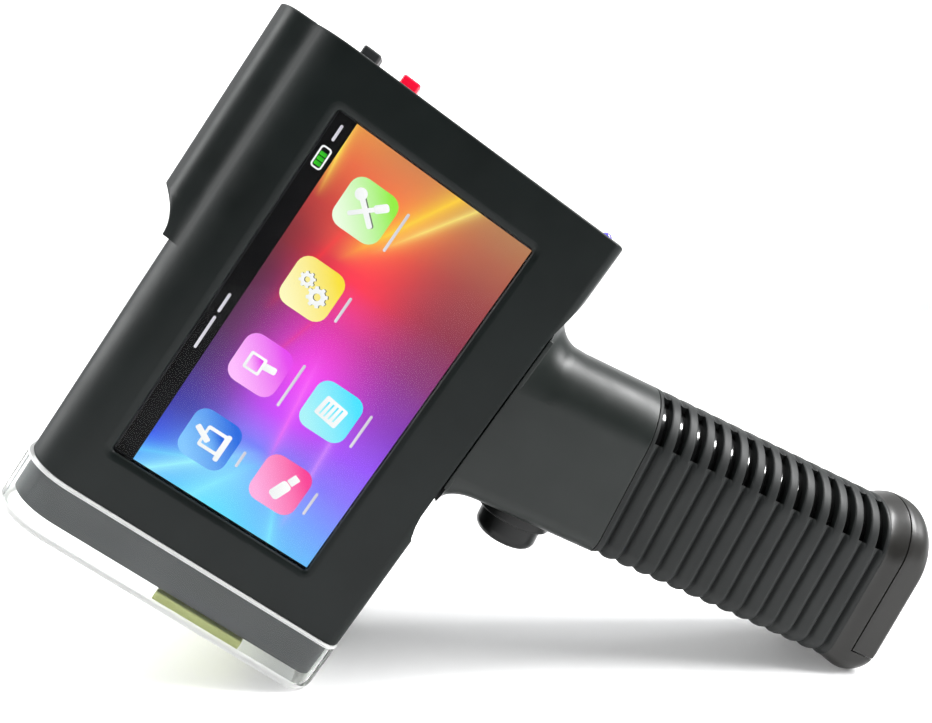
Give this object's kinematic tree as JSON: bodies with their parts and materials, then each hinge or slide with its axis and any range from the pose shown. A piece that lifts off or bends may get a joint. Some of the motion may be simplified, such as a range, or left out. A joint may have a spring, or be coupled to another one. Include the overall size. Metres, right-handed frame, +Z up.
{
  "type": "handheld date code inkjet printer",
  "caption": "Handheld date code inkjet printer: pistol body with a side touch screen, a print face under a clear dust cap, rear push buttons and a ribbed battery grip with a trigger.",
  "frame": {"origin": "centre of the bounding box in X and Y, on the surface the printer leans on", "axes": "+Z up, +X from the print face towards the end of the grip, -Y out of the touch screen; the printer leans on the corner of its dust cap and the heel of its grip"},
  "size_m": [0.2414, 0.0548, 0.1662],
  "materials": {
    "casing": "fine textured satin",
    "grip_core": "polished",
    "grip_rubber": "soft satin",
    "lens": "polished touch lens",
    "lcd": "lit display",
    "steel_sheet": "plain sheet",
    "screw_steel": "plain",
    "axle_steel": "ground",
    "board": "solder masked laminate",
    "base_grey": "satin",
    "clear_cap": "clear moulded",
    "seal": "soft foam",
    "cartridge": "satin",
    "gold": "plated",
    "cradle": "satin",
    "black_parts": "satin",
    "trigger": "satin gloss",
    "key_black": "satin",
    "key_red": "polished",
    "led_blue": "clear lens",
    "hub": "satin",
    "tyre": "ground",
    "cell": "printed sleeve",
    "wrap": "shrink film"
  },
  "bodies": {
    "printer": {"front_cover": "casing", "back_casing": "casing", "port_housing": "casing", "touch_lens": "lens", "lcd_panel": "lcd", "lcd_back_plate": "steel_sheet", "main_board": "board", "processor_shield": "steel_sheet", "print_base": "base_grey", "nozzle_guard": "steel_sheet", "ink_cartridge": "cartridge", "nozzle_strip": "gold", "cartridge_cradle": "cradle", "contact_board": "gold", "encoder_axle": "axle_steel", "encoder_sensor": "black_parts", "usb_socket": "steel_sheet", "dc_jack": "black_parts", "buzzer": "black_parts", "status_led": "led_blue", "button_switches": "black_parts", "case_screws": "screw_steel", "base_screws": "screw_steel", "door_hinge_pin": "axle_steel", "grip_front": "grip_core", "grip_back": "grip_core", "grip_sleeve": "grip_rubber", "end_collar": "casing", "grip_screws": "screw_steel", "battery_cells": "cell", "battery_wrap": "wrap", "battery_contacts": "gold", "trigger_bezel": "black_parts", "trigger_switch": "black_parts"},
    "dust_cover": {"dust_cap": "clear_cap", "seal_pad": "seal"},
    "trigger": {"trigger_button": "trigger"},
    "black_key": {"black_button": "key_black"},
    "red_key": {"red_button": "key_red"},
    "encoder_wheel": {"encoder_hub": "hub", "encoder_tyre": "tyre"},
    "cartridge_hatch": {"cartridge_door": "casing"},
    "battery_hatch": {"battery_door": "casing", "door_contact": "gold"}
  },
  "joints": [
    {"name": "dust_cap_slide", "type": "slide", "parent": "printer", "child": "dust_cover", "axis": [-0.5575, 0, -0.8302], "range_m": [0, 0.03]},
    {"name": "trigger_push", "type": "slide", "parent": "printer", "child": "trigger", "axis": [0.4128, 0, 0.9108], "range_m": [0, 0.0035], "stiffness_N_per_m": 800, "springref_m": -0.001},
    {"name": "black_button_push", "type": "slide", "parent": "printer", "child": "black_key", "axis": [-0.5575, 0, -0.8302], "range_m": [0, 0.001], "stiffness_N_per_m": 1500, "springref_m": -0.0004},
    {"name": "red_button_push", "type": "slide", "parent": "printer", "child": "red_key", "axis": [-0.5575, 0, -0.8302], "range_m": [0, 0.001], "stiffness_N_per_m": 1500, "springref_m": -0.0004},
    {"name": "encoder_spin", "type": "hinge", "parent": "printer", "child": "encoder_wheel", "pos_m": [-0.08782, 0.0006, 0.04083], "axis": [0, -1, 0], "continuous": true},
    {"name": "cartridge_door_hinge", "type": "hinge", "parent": "printer", "child": "cartridge_hatch", "pos_m": [-0.03012, 0.0251, 0.05411], "axis": [-0.5575, 0, -0.8302], "range_deg": [0, 95]},
    {"name": "battery_door_slide", "type": "slide", "parent": "printer", "child": "battery_hatch", "axis": [0.9108, 0, -0.4128], "range_m": [0, 0.02]}
  ]
}
